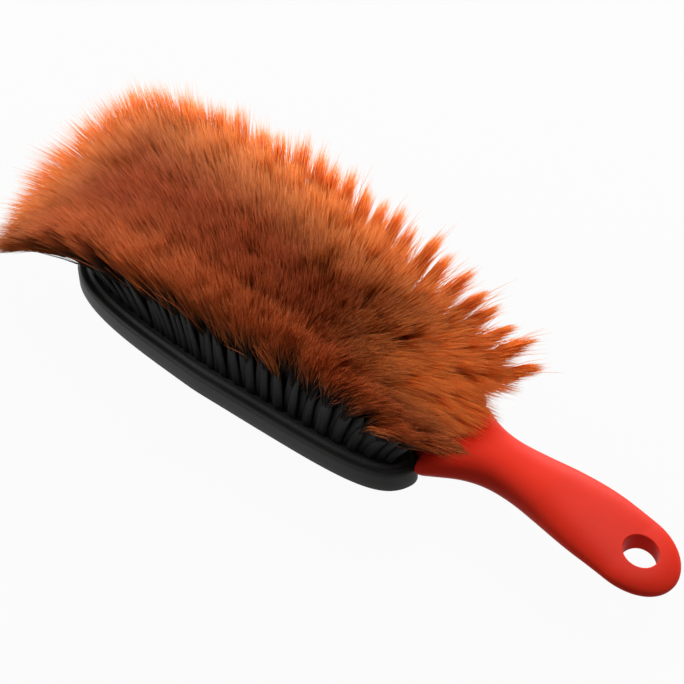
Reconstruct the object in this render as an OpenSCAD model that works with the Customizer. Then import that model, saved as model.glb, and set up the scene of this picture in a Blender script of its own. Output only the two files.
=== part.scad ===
// Neck duster brush lying on its back with the hair upwards.
// Lengths are in millimetres. The handle points along +X and the hair stands along +Z.
// The design datum is the middle of the tuft block, at the height of its rim.

/* [Tuft block] */
// Reach of the block from the datum to its front end
block_front = 70; // [60:1:80]
// Reach of the block from the datum to its rear end, beside the neck
block_rear = 72; // [66:1:80]
// Width of the block
block_w = 62; // [56:1:70]
// Height of the block's wall
block_h = 6.6; // [5.6:0.2:9]
// Squareness of the front end, where 2 is an ellipse
front_square = 3.5; // [2.5:0.1:5]
// Squareness of the rear end, where 2 is an ellipse
rear_square = 6; // [4:0.5:8]
// Share of the width that is lost towards the rear end
rear_taper = 0.17; // [0.05:0.01:0.25]
// Width of the flat rim around the tufts
rim_w = 4.3; // [3:0.1:6]
// Drop from the rim to the bed of the tufts
rim_step = 0.8; // [0.4:0.1:1.4]
// Radius of the rim's outer edge
edge_round = 1.6; // [0.8:0.2:2.4]
// Bevel along the block's lower edge
base_bevel = 0.5; // [0.2:0.1:1]

/* [Tufts] */
// Length of the hair in the middle of the head
hair_len = 36.5; // [28:0.5:46]
// Share of the length that is gained at the front and lost at the rear
hair_sweep = 0.15; // [0:0.01:0.25]
// Distance from the datum to the place where the hair stands upright
fan_x = 10; // [0:1:20]
// Sideways slope of the hair at the front end
front_fan = 1.7; // [0.6:0.05:2]
// Sideways slope of the hair at the rear end and round the notch
rear_fan = 1.1; // [0.3:0.05:1.4]
// Sideways slope of the hair at the two long sides
side_fan = 0.54; // [0.2:0.02:0.7]
// Gain of the side slope at the front corners
corner_fan = 1; // [0:0.1:1.6]
// Room between the outermost tufts and the inner edge of the rim
edge_room = 2; // [1.6:0.1:3]
// Room between the end tufts of a row and the inner edge of the rim
end_room = 4; // [3:0.1:6]
// Distance between two tufts in a row
tuft_pitch = 5.2; // [4.6:0.1:6]
// Distance between the two strands of one tuft
strand_step = 2.2; // [1.9:0.1:2.4]
// Width of a strand at its root
root_d = 1.5; // [1:0.1:1.8]
// Width of a strand at its thickest place
belly_d = 1.9; // [1:0.1:2.2]
// Depth that a strand is sunk in its bed
root_sink = 0.6; // [0.3:0.1:0.8]
// Thickness of the bed that carries the tufts
bed_t = 2.6; // [2.4:0.1:3]
// Gap between two beds, and between a bed and the block
bed_gap = 0.15; // [0.1:0.05:0.3]

/* [Anchors] */
// Length of the flat steel anchor that holds a tuft
anchor_l = 2.2; // [1.6:0.1:2.6]
// Height of an anchor
anchor_h = 1.5; // [1:0.1:1.6]
// Thickness of an anchor
anchor_t = 0.4; // [0.3:0.05:0.6]
// Clearance of an anchor in its slot
anchor_gap = 0.12; // [0.08:0.02:0.2]

/* [Back] */
// Depth of the back below the block
back_t = 5.8; // [5.2:0.2:9]
// Distance from the block's outline to the back's outline
back_inset = 9; // [6:0.5:11]
// Length over which the back thins towards the neck
back_run = 29; // [20:1:40]
// Depth that is cut off the back's crown as a flat to lie on
flat_cut = 0.5; // [0.3:0.1:0.8]
// Diameter of the pegs that hold the block on the back
peg_d = 6; // [4:0.5:8]
// Length of the pegs
peg_l = 3; // [2:0.2:3.4]
// Distance of the pegs from the middle, along the head
peg_x = 38; // [24:1:42]
// Distance of the pegs from the middle, across the head
peg_y = 11; // [8:0.5:13]
// Clearance of a peg in its socket, on the radius and in depth
peg_gap = 0.2; // [0.1:0.05:0.4]

/* [Neck] */
// Width of the notch that takes the neck into the block
notch_w = 18.6; // [16:0.2:21]
// Length of the notch
notch_l = 9; // [8:0.5:14]
// Radius of the notch's inner corners
notch_round = 4; // [2:0.5:6]
// Widening of the notch's mouth on each side
mouth_flare = 2.8; // [1.5:0.1:3.4]
// Length over which the mouth widens
mouth_l = 6; // [4:0.5:8]
// Gap between the neck and the block
fit_gap = 0.4; // [0.3:0.05:0.6]
// Width of the shoulder just behind the block
shoulder_w = 34; // [30:0.5:38]
// Radius of the shoulder's front corners
shoulder_round = 3; // [1:0.5:4]
// Smallest width of the neck
neck_w = 17; // [14:0.2:20]
// Distance from the block's rear end to the smallest width
neck_at = 22; // [18:0.5:26]
// Drop of the keel that carries the back into the neck
keel_drop = 2.8; // [2.4:0.1:4]
// Length of that keel behind the block
keel_l = 12; // [8:0.5:16]

/* [Handle] */
// Distance from the block's rear end to the tip of the handle
handle_reach = 75.4; // [70:0.2:90]
// Greatest width of the grip
grip_w = 23.6; // [20:0.2:28]
// Distance from the block's rear end to the greatest width
grip_at = 53; // [46:1:57]
// Thickness of the grip
grip_t = 10.4; // [9.8:0.2:13]
// Thickness of the handle at its tip
tip_t = 5.8; // [4.6:0.2:8]
// Distance from the block's rear end to where the grip starts to thin
thin_at = 36; // [30:1:46]
// Height of the grip's middle above the rim, at the top of its arch
arch_z = 6.5; // [5:0.2:8]
// Distance from the block's rear end to the top of the arch
arch_at = 38; // [32:1:44]
// Drop of the arch towards the block
root_drop = 5.6; // [4:0.1:6.5]
// Drop of the arch towards the tip
tip_drop = 5.2; // [3:0.1:6.5]
// Length of the rounded tip
tip_round = 14; // [11.5:0.5:18]
// Squareness of the handle's section, where 2 is an ellipse
section_square = 2.4; // [2:0.1:3]
// Diameter of the hanging hole
hole_d = 9.6; // [6:0.2:11]
// Distance from the tip of the handle to the middle of the hole
hole_in = 11; // [9.5:0.1:14]

/* [Hidden] */

rows = 9;
mid_row = (rows + 1) / 2;
bed_top = -rim_step;
bed_z = bed_top - bed_t;
back_z = -block_h;
rest_z = -block_h - back_t + flat_cut;
tip_x = block_rear + handle_reach;
hole_x = tip_x - hole_in;
notch_x = block_rear - notch_l;
shoulder_x = block_rear + fit_gap;
half_w = block_w / 2;

// Smooth steps and blends
function clamp01(u) = min(1, max(0, u));
function ease(u) = (1 - cos(180 * clamp01(u))) / 2;
function mix(a, b, u) = a + (b - a) * u;
function powered(c, n) = sign(c) * pow(abs(c), 2 / n);

// Outline of the head, drawn in by a distance, as a half-width at a place along it
function head_square(x) = x > 0 ? rear_square : front_square;
function head_reach(x, inset) = (x > 0 ? block_rear : block_front) - inset;
function head_taper(x, inset) = x > 0 ? 1 - rear_taper * x / (block_rear - inset) : 1;
function head_half(x, inset) = abs(x) >= head_reach(x, inset) ? 0
  : (half_w - inset) * head_taper(x, inset)
    * pow(1 - pow(abs(x) / head_reach(x, inset), head_square(x)), 1 / head_square(x));

// The same outline as points, one every few degrees
outline_steps = 76;
function head_point(a, inset) =
  let (c = cos(a), s = sin(a), n = c > 0 ? rear_square : front_square,
    x = head_reach(c, inset) * powered(c, n))
  [x, (half_w - inset) * head_taper(x, inset) * powered(s, n)];
function head_ring(inset) =
  [for (i = [0 : outline_steps - 1]) head_point(360 * (i + 0.5) / outline_steps, inset)];

// Half-width of the notch at a place along it, with round inner corners and a flared mouth
function notch_half(x, grow) =
  let (r = notch_round + grow, d = x - notch_x + grow,
    m = clamp01((x - block_rear + mouth_l) / mouth_l))
  d <= 0 ? 0 : notch_w / 2 - notch_round + (d < r ? sqrt(r * r - (r - d) * (r - d)) : r)
    + mouth_flare * m * m;

// Quads between rings of points, as triangles, with both ends closed
function ring_faces(count, size) = concat(
  [[for (j = [0 : size - 1]) j]],
  [for (i = [0 : count - 2], j = [0 : size - 1])
    [(i + 1) * size + (j + 1) % size, i * size + (j + 1) % size, i * size + j]],
  [for (i = [0 : count - 2], j = [0 : size - 1])
    [(i + 1) * size + j, (i + 1) * size + (j + 1) % size, i * size + j]],
  [[for (j = [size - 1 : -1 : 0]) (count - 1) * size + j]]);
function flat_list(rings) = [for (r = rings) for (q = r) q];

// Half-width, middle height and half-thickness of the handle behind the block
function handle_half(x) =
  let (d = x - block_rear,
    w = d < neck_at ? mix(neck_w, shoulder_w, pow(1 - d / neck_at, 2))
      : mix(neck_w, grip_w, ease((d - neck_at) / (grip_at - neck_at))),
    c = 1 - clamp01(d / shoulder_round),
    k = clamp01((x - tip_x + tip_round) / tip_round))
  (w / 2 - shoulder_round * (1 - sqrt(1 - c * c))) * sqrt(max(0, 1 - k * k));
function handle_mid(x) =
  let (d = x - block_rear - arch_at)
  arch_z - (d < 0 ? root_drop * pow(d / arch_at, 2)
    : tip_drop * pow(d / (handle_reach - arch_at), 2));
function handle_thick(x) =
  let (k = clamp01((x - tip_x + tip_round) / tip_round),
    u = clamp01((x - block_rear - thin_at) / (handle_reach - tip_round - thin_at)))
  mix(grip_t, tip_t, u) / 2 * sqrt(max(0, 1 - pow(k, 4)));

// The red moulding's ring at a place along it: the crown below, a ledge, then the top
low_steps = 6;
top_steps = 7;
crown_square = 2.6;
keel_square = 1.5;
back_flat = block_rear - back_run;
function keel_mix(x) = 1 - ease((x - shoulder_x) / keel_l);
crown_end = notch_w / 2 + mouth_flare + fit_gap / 2;
function crown_half(x) = x < 0 ? head_half(x, back_inset)
  : mix(half_w - back_inset, crown_end, pow(x / shoulder_x, 2.2));
function crown_depth(x) = x < 0 ? back_t * pow(crown_half(x) / (half_w - back_inset), 0.35)
  : mix(back_t, keel_drop - handle_mid(shoulder_x) + grip_t / 2 + back_z,
    ease((x - back_flat) / (shoulder_x - back_flat)));
function ridge_half(x) = max(notch_half(x, -fit_gap), crown_half(x) * 0.2);
ridge_rise = notch_l * 0.6;
function ridge_top(x) = mix(back_z, handle_mid(x) + grip_t / 2, ease((x - ridge_x) / ridge_rise));
function half_ring(x) =
  x < shoulder_x ? concat(
    [for (i = [0 : low_steps])
      let (a = -90 + 90 * i / low_steps)
      [crown_half(x) * powered(cos(a), crown_square),
        back_z + crown_depth(x) * powered(sin(a), crown_square)]],
    [for (i = [0 : top_steps])
      let (a = 90 * i / top_steps, w = min(ridge_half(x), crown_half(x) * 0.98))
      [w * powered(cos(a), section_square),
        back_z + (ridge_top(x) - back_z) * powered(sin(a), section_square)]])
  : concat(
    [for (i = [0 : low_steps])
      let (a = -90 + 82 * i / low_steps, m = mix(section_square, keel_square, keel_mix(x)),
        drop = handle_thick(x) + keel_drop * keel_mix(x))
      [handle_half(x) * powered(cos(a), m), handle_mid(x) + drop * powered(sin(a), m)]],
    [for (i = [0 : top_steps])
      let (a = 8 + 82 * i / top_steps)
      [handle_half(x) * powered(cos(a), section_square),
        handle_mid(x) + handle_thick(x) * powered(sin(a), section_square)]]);
function full_ring(x) =
  let (h = half_ring(x), n = len(h))
  concat([for (q = h) [x, q[0], q[1]]],
    [for (i = [n - 2 : -1 : 1]) [x, -h[i][0], h[i][1]]]);

// Places of the rings, closer together where the form turns
front_x = -(block_front - back_inset);
rear_x = block_rear + fit_gap / 4;
ridge_x = notch_x + fit_gap;
head_places = [for (i = [1 : 9]) front_x * cos(90 * pow(i / 10, 1.4)),
  for (i = [0 : 5]) notch_x * i / 6,
  for (i = [0 : 9]) mix(ridge_x, rear_x, i / 9)];
neck_places = [for (i = [0 : 9]) shoulder_x + neck_at * pow(i / 9, 1.5)];
grip_start = shoulder_x + neck_at;
grip_stop = tip_x - tip_round;
grip_places = [for (i = [1 : 7]) mix(grip_start, grip_stop, i / 7)];
tip_places = [for (i = [1 : 8]) grip_stop + tip_round * sin(88 * i / 8)];
places = concat(head_places, neck_places, grip_places, tip_places);

module handle_shell() {
  rings = [for (x = places) full_ring(x)];
  polyhedron(flat_list(rings), ring_faces(len(rings), len(rings[0])));
}

module peg_places() {
  for (sx = [-1, 1], sy = [-1, 1]) translate([sx * peg_x, sy * peg_y, 0]) children();
}

// Red handle and back in one moulding, with the hanging hole and the peg sockets
module handle() {
  color([0.86, 0.16, 0.11])
  difference() {
    handle_shell();
    translate([-block_front, -half_w, rest_z - back_t])
      cube([block_front + block_rear + handle_reach, block_w, back_t]);
    translate([hole_x, 0, rest_z])
      cylinder(d = hole_d, h = arch_z + grip_t - rest_z, $fn = 48);
    peg_places() translate([0, 0, back_z - peg_l - peg_gap])
      cylinder(r = peg_d / 2 + peg_gap, h = peg_l + 2 * peg_gap, $fn = 32);
  }
}

// Solid of the block's outer form, with a rounded rim
round_steps = 4;
module block_shell() {
  rings = concat(
    [[base_bevel, back_z], [0, back_z + base_bevel]],
    [for (i = [0 : round_steps])
      let (a = 90 * i / round_steps)
      [edge_round * (1 - cos(a)), -edge_round + edge_round * sin(a)]]);
  points = [for (r = rings) for (q = head_ring(r[0])) [q[0], q[1], r[1]]];
  polyhedron(points, ring_faces(len(rings), outline_steps));
}

// Notch outline as a column through the block
notch_steps = 15;
module notch_column(grow, low, high) {
  xs = [for (i = [0 : notch_steps])
    let (u = i / notch_steps) notch_x - grow + (notch_l + grow) * pow(u, 1.6)];
  far = block_rear + mouth_flare;
  side = concat([for (x = xs) [x, notch_half(x, grow)]],
    [[far, notch_half(block_rear, grow) + mouth_flare]]);
  n = len(side);
  translate([0, 0, low]) linear_extrude(height = high - low)
    polygon(concat(side, [for (i = [n - 1 : -1 : 1]) [side[i][0], -side[i][1]]]));
}

// Bed outline as a column, drawn in from the block by the rim, clear of the notch
module bed_column(inset, low, high) {
  difference() {
    translate([0, 0, low]) linear_extrude(height = high - low)
      polygon(head_ring(rim_w + inset));
    notch_column(rim_w + inset, low - 1, high + 1);
  }
}

// Black block with its rim, the bed of the tufts, the notch and the pegs
module tuft_block() {
  color([0.13, 0.13, 0.13])
  union() {
    difference() {
      block_shell();
      notch_column(0, back_z - 1, 1);
      bed_column(0, bed_z, 1);
    }
    peg_places() translate([0, 0, back_z - peg_l])
      cylinder(d = peg_d, h = peg_l + block_h + bed_z, $fn = 32);
  }
}

// Places of the tufts: each row bends with the outline of the bed
front_root = block_front - rim_w - end_room;
rear_root = block_rear - rim_w - end_room;
function held(x) = max(-front_root, min(rear_root, x));
function row_span(x) = head_half(held(x), rim_w) - edge_room;
function row_share(k) = (k - mid_row) / (mid_row - 1);
function row_y(k, x) = row_share(k) * row_span(x);
function beside_notch(x, y) =
  x < notch_x - rim_w - edge_room
  || abs(y) > edge_room + max(notch_half(x, rim_w), notch_half(x + edge_room, rim_w));
row_slots = floor((front_root + rear_root) / 2 / tuft_pitch);
row_middle = (rear_root - front_root) / 2;
function row_xs(k) = [for (i = [-row_slots : row_slots])
  let (x = row_middle + i * tuft_pitch)
  if (beside_notch(x + strand_step / 2, row_y(k, x))) x];

// Slope and length of the hair at a root. Towards the front the slope along the head hangs on
// x alone, and towards the rear the slope across it hangs on y alone, and each grows steadily
// outwards, so that no two strands cross.
fan_power = 1.7;
side_power = 1.4;
function along(x) = x / (x > 0 ? block_rear - rim_w : block_front - rim_w);
function across(y) = y / (half_w - rim_w);
function rear_end(y) =
  abs(y) < notch_w / 2 + rim_w + edge_room ? notch_x - rim_w : block_rear - rim_w;
function front_share(x) = max(0, (fan_x - x) / (fan_x + block_front - rim_w));
function rear_share(x, y) = max(0, (x - fan_x) / (rear_end(y) - fan_x));
function slope_x(x, y) = rear_fan * pow(rear_share(x, y), fan_power)
  - front_fan * pow(front_share(x), fan_power);
function slope_y(x, y) = sign(y) * side_fan * pow(abs(across(y)), side_power)
  * (1 + corner_fan * pow(front_share(x), 2));
function strand_dir(x, y) =
  let (way = [slope_x(x, y), slope_y(x, y), 1]) way / norm(way);
function strand_len(x) = hair_len * (1 - hair_sweep * along(x));
function strand_at(x, y, s) = [x, y, bed_top] + strand_dir(x, y) * s;
belly_share = 0.4;

// One tapering strand with three sides, its root sunk in the bed
module strand(x, y, turn) {
  dir = strand_dir(x, y);
  foot = strand_at(x, y, -root_sink / dir[2]);
  belly = strand_at(x, y, strand_len(x) * belly_share);
  tip = strand_at(x, y, strand_len(x));
  ring = [for (a = [0, 120, 240]) [cos(a + turn), sin(a + turn), 0]];
  points = concat([for (q = ring) foot + q * root_d / 2],
    [for (q = ring) belly + q * belly_d / 2], [tip]);
  polyhedron(points, [[0, 1, 2], [4, 1, 0], [3, 4, 0], [5, 2, 1], [4, 5, 1],
    [3, 0, 2], [5, 3, 2], [6, 4, 3], [6, 5, 4], [6, 3, 5]]);
}

// Strip of the bed under one row, between the lines halfway to its neighbours
strip_steps = 16;
function strip_line(share, shift) = [for (i = [0 : strip_steps])
  let (x = mix(-block_front, block_rear, i / strip_steps))
  [x, share * row_span(x) + shift]];
module strip_column(k) {
  half_share = 0.5 / (mid_row - 1);
  low = k == 1 ? [[-block_front, -half_w], [block_rear, -half_w]]
    : strip_line(row_share(k) - half_share, bed_gap / 2);
  high = k == rows ? [[-block_front, half_w], [block_rear, half_w]]
    : strip_line(row_share(k) + half_share, -bed_gap / 2);
  n = len(high);
  translate([0, 0, bed_z - 1]) linear_extrude(height = bed_t + 2)
    polygon(concat(low, [for (i = [n - 1 : -1 : 0]) high[i]]));
}
module bed_strip(k) {
  difference() {
    intersection() {
      bed_column(bed_gap, bed_z, bed_top);
      strip_column(k);
    }
    for (x = row_xs(k)) translate([x, row_y(k, x), bed_z + anchor_h / 2])
      cube([anchor_l + 2 * anchor_gap, anchor_t + 2 * anchor_gap, anchor_h + 2 * anchor_gap],
        center = true);
  }
}

// A row of tufts, each of two strands, on its strip of the bed
module tuft_row(k) {
  color([0.85, 0.40, 0.18])
  union() {
    bed_strip(k);
    for (x = row_xs(k)) {
      strand(x - strand_step / 2, row_y(k, x), 30);
      strand(x + strand_step / 2, row_y(k, x), 90);
    }
  }
}

// The flat steel anchors under one row, standing on the block
module anchor_row(k) {
  color([0.7, 0.7, 0.72])
  for (x = row_xs(k)) translate([x, row_y(k, x), bed_z + anchor_h / 2])
    cube([anchor_l, anchor_t, anchor_h], center = true);
}

module tuft_row_1() { tuft_row(1); }
module tuft_row_2() { tuft_row(2); }
module tuft_row_3() { tuft_row(3); }
module tuft_row_4() { tuft_row(4); }
module tuft_row_5() { tuft_row(5); }
module tuft_row_6() { tuft_row(6); }
module tuft_row_7() { tuft_row(7); }
module tuft_row_8() { tuft_row(8); }
module tuft_row_9() { tuft_row(9); }
module anchor_row_1() { anchor_row(1); }
module anchor_row_2() { anchor_row(2); }
module anchor_row_3() { anchor_row(3); }
module anchor_row_4() { anchor_row(4); }
module anchor_row_5() { anchor_row(5); }
module anchor_row_6() { anchor_row(6); }
module anchor_row_7() { anchor_row(7); }
module anchor_row_8() { anchor_row(8); }
module anchor_row_9() { anchor_row(9); }

// The finished brush stands centred over the origin, with its flat back on the ground
front_tips = [for (k = [1 : rows]) for (x = row_xs(k))
  strand_at(x - strand_step / 2, row_y(k, x), strand_len(x - strand_step / 2))[0]];
middle_x = (min(front_tips) + tip_places[len(tip_places) - 1]) / 2;
strand_count = 2 * len(front_tips);
echo(strands = strand_count, middle_x = middle_x, rest_z = rest_z, hole_x = hole_x - middle_x);

module placed() { translate([-middle_x, 0, -rest_z]) children(); }

placed() handle();
placed() tuft_block();
placed() tuft_row_1();
placed() tuft_row_2();
placed() tuft_row_3();
placed() tuft_row_4();
placed() tuft_row_5();
placed() tuft_row_6();
placed() tuft_row_7();
placed() tuft_row_8();
placed() tuft_row_9();
placed() anchor_row_1();
placed() anchor_row_2();
placed() anchor_row_3();
placed() anchor_row_4();
placed() anchor_row_5();
placed() anchor_row_6();
placed() anchor_row_7();
placed() anchor_row_8();
placed() anchor_row_9();
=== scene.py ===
# %% [markdown]
# # A neck duster brush
# Barbers use this brush to whisk cut hair off a neck. It has a red handle, a flat black
# block and soft orange hair with black roots. The solid model of the brush is already
# there, so this lesson dresses it: every piece below is a surface worked out with numpy,
# in metres, in the same place as the solid that it stands for.

# %% Load the solid model
import math
import bpy
import numpy as np
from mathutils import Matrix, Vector
from mathutils.geometry import tessellate_polygon


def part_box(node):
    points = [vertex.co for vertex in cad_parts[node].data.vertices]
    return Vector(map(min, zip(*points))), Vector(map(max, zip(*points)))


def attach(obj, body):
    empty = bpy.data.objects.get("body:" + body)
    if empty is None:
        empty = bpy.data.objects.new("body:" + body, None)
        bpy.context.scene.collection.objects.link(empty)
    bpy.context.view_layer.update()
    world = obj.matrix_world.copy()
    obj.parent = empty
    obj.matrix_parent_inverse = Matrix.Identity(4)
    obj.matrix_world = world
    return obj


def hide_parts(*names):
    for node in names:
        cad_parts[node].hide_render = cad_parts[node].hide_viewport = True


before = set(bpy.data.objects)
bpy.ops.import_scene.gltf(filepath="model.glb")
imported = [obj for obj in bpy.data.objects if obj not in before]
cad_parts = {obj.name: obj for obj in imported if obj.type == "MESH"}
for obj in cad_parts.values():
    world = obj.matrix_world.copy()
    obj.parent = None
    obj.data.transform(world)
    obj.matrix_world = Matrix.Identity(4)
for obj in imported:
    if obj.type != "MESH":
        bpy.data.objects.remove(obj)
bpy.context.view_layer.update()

# %% [markdown]
# ## Sizes
# The sizes are those of the solid model, in millimetres from the middle of the block at the
# height of its rim. Only a few edges and sections are a touch tighter, because a finer mesh
# can show them. The block's own box tells where its middle lies in the shared frame, so a
# single shift brings each drawn point into place.

# %% Sizes of the brush
MM = 0.001
block_front, block_rear, block_half, block_high = 70.0, 72.0, 31.0, 6.6
front_square, rear_square, rear_taper = 3.5, 6.0, 0.17
rim_wide, rim_step, edge_round = 4.3, 0.8, 1.1
edge_room, end_room, tuft_pitch, row_count = 2.0, 4.0, 5.2, 9
notch_wide, notch_long, notch_round = 18.6, 9.0, 4.0
mouth_flare, mouth_long, fit_gap = 2.8, 6.0, 0.4
back_deep, back_inset, back_run, flat_cut = 5.8, 9.0, 29.0, 0.5
block_low, block_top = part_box("tuft_block")
shift = np.array([block_low[0] / MM + block_front, 0.0, block_top[2] / MM])
print("shift of the drawing, mm:", shift.round(3))


def placed(points):
    """Drawn points in millimetres, shifted into the shared frame, in metres."""
    return (np.asarray(points, dtype=float) + shift) * MM


# %% [markdown]
# ## From grids to meshes
# Nearly every piece is a grid of points: one parameter runs along it, the other round it.
# Neighbouring points are joined by quads, and where two edges of grids meet, their points
# are welded into one, so that light runs over the seam without a break.

# %% Helpers for grids and meshes


def grid_quads(rows, columns, closed=False, start=0):
    """Quads of a rows by columns grid. Row r, column c is point start + r * columns + c, and
    with closed the last column joins the first."""
    r = np.arange(rows - 1)[:, None]
    c = np.arange(columns if closed else columns - 1)[None, :]
    d = (c + 1) % columns
    quads = np.stack([r * columns + c, r * columns + d,
                      (r + 1) * columns + d, (r + 1) * columns + c], axis=-1)
    return quads.reshape(-1, 4) + start


def welded(points, faces, near=1e-3):
    """The same surface with points that round to the same multiple of near millimetres made
    one, and with the faces that lose a corner turned into triangles or dropped."""
    keys = np.round(np.asarray(points) / near).astype(np.int64)
    _, first, index = np.unique(keys, axis=0, return_index=True, return_inverse=True)
    index = index.reshape(-1)
    solid = []
    for face in faces:
        face = index[np.asarray(face)]
        if face.shape[1] == 4:
            same = face == np.roll(face, -1, axis=1)
            once = same.sum(axis=1) == 1
            full = same.sum(axis=1) == 0
            solid.append(face[full])
            keep = ~same[once]
            solid.append(face[once][keep].reshape(-1, 3))
        else:
            a, b, c = face.T
            solid.append(face[(a != b) & (b != c) & (c != a)])
    return np.asarray(points)[first], [f for f in solid if len(f)]


def add_piece(name, points, faces, finish, smooth=40.0, maps=None):
    """A mesh object at the origin from points in metres and a list of face arrays. Edges that
    turn by more than smooth degrees stay sharp; maps names the pairs that each point carries."""
    mesh = bpy.data.meshes.new(name)
    corners = np.concatenate([f.reshape(-1) for f in faces]).astype(np.int32)
    counts = np.concatenate([np.full(len(f), f.shape[1]) for f in faces])
    mesh.vertices.add(len(points))
    mesh.vertices.foreach_set("co", np.asarray(points, dtype=np.float32).reshape(-1))
    mesh.loops.add(len(corners))
    mesh.loops.foreach_set("vertex_index", corners)
    mesh.polygons.add(len(counts))
    starts = np.concatenate([[0], np.cumsum(counts)[:-1]]).astype(np.int32)
    mesh.polygons.foreach_set("loop_start", starts)
    for title, pairs in (maps or {}).items():
        layer = mesh.uv_layers.new(name=title)
        layer.data.foreach_set("uv", np.asarray(pairs, dtype=np.float32)[corners].reshape(-1))
    mesh.update(calc_edges=True)
    mesh.validate()
    mesh.polygons.foreach_set("use_smooth", np.ones(len(mesh.polygons), dtype=bool))
    if smooth < 180:
        mesh.set_sharp_from_angle(angle=math.radians(smooth))
    mesh.materials.append(finish)
    piece = bpy.data.objects.new(name, mesh)
    bpy.context.collection.objects.link(piece)
    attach(piece, "root")
    triangles = int((counts - 2).sum())
    print(f"{name}: {len(points)} points, {triangles} triangles")
    return piece


print("quads of a closed grid of 3 by 4 points:", len(grid_quads(3, 4, closed=True)))

# %% [markdown]
# ## Writing finishes
# A finish is a small network of shader nodes. Wiring it by hand hides the idea, so one
# class wraps a socket: sums and products of sockets become math nodes, and one method
# makes any other node from its type, its settings and what goes into its sockets.

# %% A socket that can be reckoned with


class Wire:
    """An output socket of a shader node, with plus, minus and times."""

    def __init__(self, tree, socket=None):
        self.tree, self.socket = tree, socket

    def node(self, kind, settings=None, sockets=None, out=0):
        """A new node of that kind. Settings go on the node, values or wires into its sockets,
        and the wire of its output comes back."""
        made = self.tree.nodes.new(kind)
        for key, value in (settings or {}).items():
            setattr(made, key, value)
        for key, value in (sockets or {}).items():
            if isinstance(value, Wire):
                self.tree.links.new(value.socket, made.inputs[key])
            else:
                made.inputs[key].default_value = value
        return Wire(self.tree, made.outputs[out])

    def output(self, out):
        """Another output of the node that this wire comes from."""
        return Wire(self.tree, self.socket.node.outputs[out])

    def math(self, operation, a, b):
        """A math node that works on two wires or numbers."""
        return self.node("ShaderNodeMath", {"operation": operation}, {0: a, 1: b})

    def __add__(self, other):
        return self.math("ADD", self, other)

    def __radd__(self, other):
        return self.math("ADD", other, self)

    def __sub__(self, other):
        return self.math("SUBTRACT", self, other)

    def __rsub__(self, other):
        return self.math("SUBTRACT", other, self)

    def __mul__(self, other):
        return self.math("MULTIPLY", self, other)

    def __rmul__(self, other):
        return self.math("MULTIPLY", other, self)

    def noise(self, scale, detail=3.0, rough=0.55):
        """Cloudy values from 0 to 1 at this wire's coordinates."""
        return self.node("ShaderNodeTexNoise", None,
                         {"Vector": self, "Scale": scale, "Detail": detail, "Roughness": rough})

    def step(self, low, high):
        """Rises smoothly from 0 at low to 1 at high."""
        return self.node("ShaderNodeMapRange", {"interpolation_type": "SMOOTHSTEP"},
                         {0: self, 1: low, 2: high, 3: 0.0, 4: 1.0})

    def mixed(self, first, second):
        """The first colour where this wire is 0 and the second where it is 1. The colours are
        inputs 6 and 7 of a mix node, and output 2."""
        return self.node("ShaderNodeMix", {"data_type": "RGBA"}, {0: self, 6: first, 7: second}, out=2)

    def map_pair(self, title):
        """The two numbers that the piece's map of that name holds, as two wires."""
        lay = self.node("ShaderNodeUVMap", {"uv_map": title})
        first = self.node("ShaderNodeSeparateXYZ", None, {0: lay}, out="X")
        return first, first.output("Y")


def new_finish(name):
    """An empty material with a principled shader, as (material, shader, wire to start from)."""
    made = bpy.data.materials.new(name)
    made.use_nodes = True
    tree = made.node_tree
    return made, tree.nodes["Principled BSDF"], Wire(tree)


def wire_to(shader, socket, wire):
    """Leads a wire into one of the shader's sockets."""
    wire.tree.links.new(wire.socket, shader.inputs[socket])


def bump_to(shader, height, strength, deep):
    """Leads a bump of that strength, at most deep metres, into the shader's normal."""
    sockets = {"Strength": strength, "Distance": deep, "Height": height}
    wire_to(shader, "Normal", height.node("ShaderNodeBump", None, sockets))


def mixed_surface(shader, second, share):
    """Makes the surface of a material from its shader and a share of a second one."""
    first = Wire(share.tree, shader.outputs[0])
    both = share.node("ShaderNodeMixShader", None, {0: share, 1: first, 2: second})
    share.tree.links.new(both.socket, share.tree.nodes["Material Output"].inputs["Surface"])


def colour(red, green, blue):
    """A colour as it is read off a screen, 0 to 255, turned into linear light."""
    c = np.array([red, green, blue]) / 255
    c = np.where(c <= 0.04045, c / 12.92, ((c + 0.055) / 1.055) ** 2.4)
    return (*c.tolist(), 1.0)


print("middle grey in linear light:", round(colour(128, 128, 128)[0], 3))

# %% [markdown]
# ### The red moulding
# The handle is moulded in a bright red plastic with a satin skin. Its gloss is broad, with
# a faint grain, so the roughness wanders a little and a very fine bump breaks the mirror.

# %% Red satin plastic
red_satin, shader, start = new_finish("red_satin_plastic")
place = start.node("ShaderNodeTexCoord", out="Object")
cloud = place.noise(38.0, 4.0)
grain = place.noise(1400.0, 2.0)
red = cloud.step(0.25, 0.75).mixed(colour(221, 47, 29), colour(227, 51, 32))
wire_to(shader, "Base Color", red)
wire_to(shader, "Roughness", 0.34 + 0.08 * cloud + 0.05 * grain)
bump_to(shader, grain, 0.05, 0.2 * MM)
shader.inputs["Specular IOR Level"].default_value = 0.05
print("made", red_satin.name)

# %% [markdown]
# ### The black block
# The block is a matt black moulding. It is never quite black: light grazes the fine grain
# of its skin and turns it charcoal, a little paler in patches, as if rubbed by fingers.

# %% Black moulded plastic
black_matt, shader, start = new_finish("black_matt_plastic")
place = start.node("ShaderNodeTexCoord", out="Object")
cloud = place.noise(55.0, 5.0)
grain = place.noise(2200.0, 2.0)
charcoal = cloud.step(0.3, 0.75).mixed(colour(48, 48, 48), colour(59, 59, 58))
wire_to(shader, "Base Color", charcoal)
wire_to(shader, "Roughness", 0.42 + 0.14 * cloud)
bump_to(shader, grain, 0.12, 0.2 * MM)
shader.inputs["Specular IOR Level"].default_value = 0.15
print("made", black_matt.name)

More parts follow.
